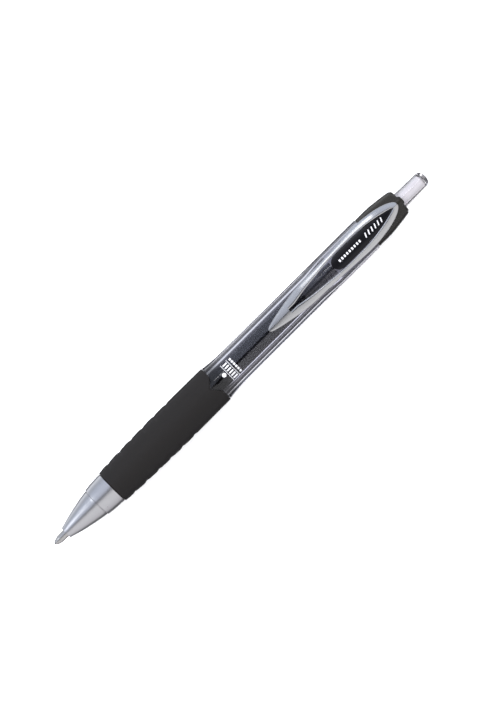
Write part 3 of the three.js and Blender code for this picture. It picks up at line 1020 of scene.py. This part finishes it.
def make_refill():
    start, end = reach("refill_tube")
    wall = tube(
        [(start, TUBE_RADIUS, 0.08), (end, TUBE_RADIUS, 0.08)],
        [(start, TUBE_BORE), (end, TUBE_BORE, 0.05)],
    )
    piece("refill_tube_wall", wall, "tube", "refill", "refill_tube")

    start, end = reach("ink_column")
    ink = turned([
        (start, 0.0),
        (start, 2.0),
        (start + 0.1, INK_RADIUS),
        (end - 0.3, INK_RADIUS),
        (end - 0.05, 2.0),
        (end, 0.0),
    ])
    piece("ink_black", ink, "ink", "refill", "ink_column")

    start, end = reach("ink_follower")
    gel = turned(rounded([
        (start, 0.0), (start, 2.0, 0.2), (end, 2.02, 0.1), (end - 0.5, 1.2, 0.6), (end - 0.6, 0.0),
    ]))
    piece("follower_gel_plug", gel, "gel", "refill", "ink_follower")

    start, end = reach("tail_plug")
    lip = reach("refill_tube")[1] + 0.1
    plug = tube(
        [(start, 1.98, 0.2), (lip, 2.0), (lip, TUBE_RADIUS, 0.1), (end, TUBE_RADIUS, 0.15)],
        [(start, 0.6, 0.1), (end, 0.6, 0.1)],
    )
    piece("tail_plug_vented", plug, "plug", "refill", "tail_plug")


def make_point():
    start, end = reach("point_holder")
    holder = tube(
        [
            (start, 1.68, 0.25),
            (26.0, 1.69, 0.1),
            (26.0, 2.88, 0.12),
            (27.5, 2.88, 0.12),
            (27.5, 2.0),
            (end, 2.0, 0.2),
        ],
        [
            (start, 1.26),
            (13.2, 1.26),
            (13.2, 0.6),
            (19.4, 0.6),
            (20, 1.15),
            (22.6, 1.15),
            (22.6, 0.7),
            (end, 0.7),
        ],
    )
    piece("point_holder_moulded", holder, "holder", "refill", "point_holder")

    start, end = reach("point_housing")
    housing = tube(
        [
            (start, 0.56, 0.05),
            (start + 0.12, 0.62, 0.1),
            (1.35, 0.98, 0.15),
            (2.15, 1.17, 0.25),
            (2.5, 1.19, 0.1),
            (end, 1.19, 0.1),
        ],
        [
            (start, 0.475),
            (0.5, 0.555),
            (0.85, 0.555),
            (1.15, 0.3),
            (1.3, 0.52),
            (9.5, 0.52),
            (9.9, 0.8),
            (end, 0.8),
        ],
    )
    piece("point_housing_turned", housing, "point", "refill", "point_housing")


def ball_shape(x, radius, rows=32):
    angles = [math.pi * i / rows for i in range(rows + 1)]
    profile = [(x - radius * math.cos(a), radius * math.sin(a)) for a in angles]
    return turned(profile, steps=64)


def make_balls():
    for name, node, look, body in (
        ("writing_ball_carbide", "point_ball", "ball", "writing_ball"),
        ("check_ball_steel", "check_ball", "spring", "refill"),
    ):
        start, end = reach(node)
        piece(name, ball_shape((start + end) / 2, (end - start) / 2), look, body, node)


def coil_path(start, end, radius, turns, dead_turns, per_turn=40):
    """A coil with closed turns at both ends and an even pitch between them."""
    pitches = turns - dead_turns
    path = []
    for i in range(int(turns * per_turn) + 1):
        turn = i / per_turn
        risen = smooth_step(turn, 0, dead_turns) * dead_turns / 2 + max(turn - dead_turns, 0)
        late = max(turn - pitches, 0)
        share = (risen - late * late / (2 * dead_turns)) / pitches
        x = start + (end - start) * min(share, 1.0)
        angle = 2 * math.pi * turn
        path.append(Vector((x, radius * math.sin(angle), radius * math.cos(angle))))
    return path


COIL_TURNS, DEAD_TURNS = 9, 1
FINE_COIL_RADIUS, FINE_WIRE, FINE_MARGIN = 0.36, 0.07, 0.1
COIL_RADIUS, COIL_WIRE, COIL_MARGIN = 2.15, 0.2, 0.2


def make_springs():
    start, end = reach("ball_spring")
    path = coil_path(
        start + FINE_MARGIN, end - FINE_MARGIN, FINE_COIL_RADIUS, COIL_TURNS, DEAD_TURNS
    )
    fine = wire(path, FINE_WIRE, sides=8)
    piece("ball_spring_fine", fine, "spring", "refill", "ball_spring")

    start, end = reach("return_spring")
    path = coil_path(start + COIL_MARGIN, end - COIL_MARGIN, COIL_RADIUS, COIL_TURNS, DEAD_TURNS)
    coil = wire(path, COIL_WIRE)
    obj = piece("return_spring_coil", coil, "spring", "pen_body", "return_spring")
    obj.parent = None
    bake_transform(obj)


# ------------------------------------------------------- floor, lights and camera

VIEW_TURN = math.radians(44.84)  # the pen's angle above the picture's lower edge
LENS = 200
SENSOR = 36
PICTURE_HEIGHT = 0.1985  # metres seen at the pen's axis
FLOOR_SIZE = 3
NEAR, FAR = 0.05, 10


def make_floor():
    bpy.ops.mesh.primitive_grid_add(x_subdivisions=24, y_subdivisions=24, size=FLOOR_SIZE)
    floor = bpy.context.object
    floor.name = "floor"
    look = Look("floor_paper", (0.93, 0.93, 0.93), 0.75)
    look.bump(look.noise(0.8, 3.0), 0.01, 0.3)
    floor.data.materials.append(look.material)
    floor.visible_glossy = False
    floor.visible_transmission = False


def area_light(name, target_x, tilt, lean, distance, size, power, color=(1, 1, 1)):
    """A soft light aimed at the pen's axis at target_x. tilt is its angle from straight up
    towards +Y, lean its angle towards the button, in degrees; size is its length along the
    pen and its width across."""
    data = bpy.data.lights.new(name, "AREA")
    data.shape = "RECTANGLE"
    data.size, data.size_y = size
    data.energy = power
    data.color = color
    obj = bpy.data.objects.new(name, data)
    bpy.context.collection.objects.link(obj)
    across, along = math.radians(tilt), math.radians(lean)
    toward = Vector(
        (math.sin(along), math.cos(along) * math.sin(across), math.cos(along) * math.cos(across))
    )
    width_axis = toward.cross(Vector((1, 0, 0))).normalized()
    length_axis = width_axis.cross(toward)
    obj.location = Vector(place(target_x, 0, 0)) + toward * distance
    obj.rotation_euler = Matrix((length_axis, width_axis, toward)).transposed().to_euler()
    return obj


# The studio round the pen: (angle from straight up towards +Y, red, green, blue).
SKY = [
    (-180, 0.35, 0.35, 0.36),
    (-167, 0.35, 0.35, 0.36),
    (-163, 2.35, 2.35, 2.40),
    (-157, 2.35, 2.35, 2.40),
    (-153, 0.04, 0.04, 0.05),
    (-121, 0.06, 0.06, 0.07),
    (-115, 0.66, 0.65, 0.68),
    (-95, 0.84, 0.83, 0.88),
    (-64, 1.00, 1.00, 1.05),
    (-24, 1.04, 1.04, 1.08),
    (-10, 0.90, 0.90, 0.94),
    (-7, 0.05, 0.05, 0.06),
    (5, 0.05, 0.05, 0.06),
    (8, 0.76, 0.80, 0.94),
    (24, 0.84, 0.90, 1.07),
    (64, 0.80, 0.87, 1.04),
    (85, 0.62, 0.66, 0.76),
    (107, 0.80, 0.84, 0.94),
    (114, 1.25, 1.29, 1.38),
    (128, 1.38, 1.42, 1.52),
    (139, 0.16, 0.16, 0.18),
    (170, 0.12, 0.12, 0.13),
    (180, 0.35, 0.35, 0.36),
]
SKY_STRENGTH = 3.0


def make_sky():
    """Soft light from both sides with a dark gap straight above the pen, and a bright
    band low down on each side that the clear barrel shows as the lines beside its refill."""
    world = bpy.data.worlds.new("studio")
    world.use_nodes = True
    tree = world.node_tree
    where = tree.nodes.new("ShaderNodeTexCoord")
    split = tree.nodes.new("ShaderNodeSeparateXYZ")
    angle = tree.nodes.new("ShaderNodeMath")
    angle.operation = "ARCTAN2"
    share = tree.nodes.new("ShaderNodeMapRange")
    share.inputs["From Min"].default_value = -math.pi
    share.inputs["From Max"].default_value = math.pi
    ramp = tree.nodes.new("ShaderNodeValToRGB")
    stops = ramp.color_ramp.elements
    for degrees, *color in SKY:
        ends = {-180: stops[0], 180: stops[-1]}
        stop = ends.get(degrees) or stops.new((degrees + 180) / 360)
        stop.color = (*[c / SKY_STRENGTH for c in color], 1)
    background = tree.nodes["Background"]
    background.inputs["Strength"].default_value = SKY_STRENGTH
    tree.links.new(where.outputs["Generated"], split.inputs["Vector"])
    tree.links.new(split.outputs["Y"], angle.inputs[0])
    tree.links.new(split.outputs["Z"], angle.inputs[1])
    tree.links.new(angle.outputs["Value"], share.inputs["Value"])
    tree.links.new(share.outputs["Result"], ramp.inputs["Fac"])
    tree.links.new(ramp.outputs["Color"], background.inputs["Color"])
    bpy.context.scene.world = world


def make_lights():
    make_sky()
    area_light(
        "nose_highlight",
        target_x=12,
        tilt=45,
        lean=-32,
        distance=0.8,
        size=(0.14, 0.30),
        power=0.36,
        color=(0.95, 0.98, 1.0),
    )
    area_light(
        "clip_highlight",
        target_x=180,
        tilt=20,
        lean=0,
        distance=0.35,
        size=(0.15, 0.034),
        power=0.050,
    )
    for name, tilt, power in (("floor_wash", 0, 15), ("upper_wash", 56, 20)):
        wash = area_light(name, LENGTH / 2, tilt, 0, 0.9, (1.4, 1.4), power)
        wash.visible_glossy = False
        wash.visible_transmission = False


def make_camera():
    data = bpy.data.cameras.new("camera")
    data.lens = LENS
    data.sensor_width = SENSOR
    data.clip_start, data.clip_end = NEAR, FAR
    obj = bpy.data.objects.new("camera", data)
    bpy.context.collection.objects.link(obj)
    distance = PICTURE_HEIGHT * LENS / SENSOR
    obj.location = (0, 0, AXIS_Z + distance)
    obj.rotation_euler = (0, 0, -VIEW_TURN)
    bpy.context.scene.camera = obj
    bpy.context.scene.view_settings.view_transform = "Standard"


make_camera()
make_floor()
make_lights()
make_nose()
make_grip()
make_barrel()
make_barrel_print()
make_end_cap()
make_clip()
make_inlay()
make_inlay_print()
make_button()
make_thrust_cam()
make_rotor()
make_sleeve()
make_refill()
make_point()
make_balls()
make_springs()
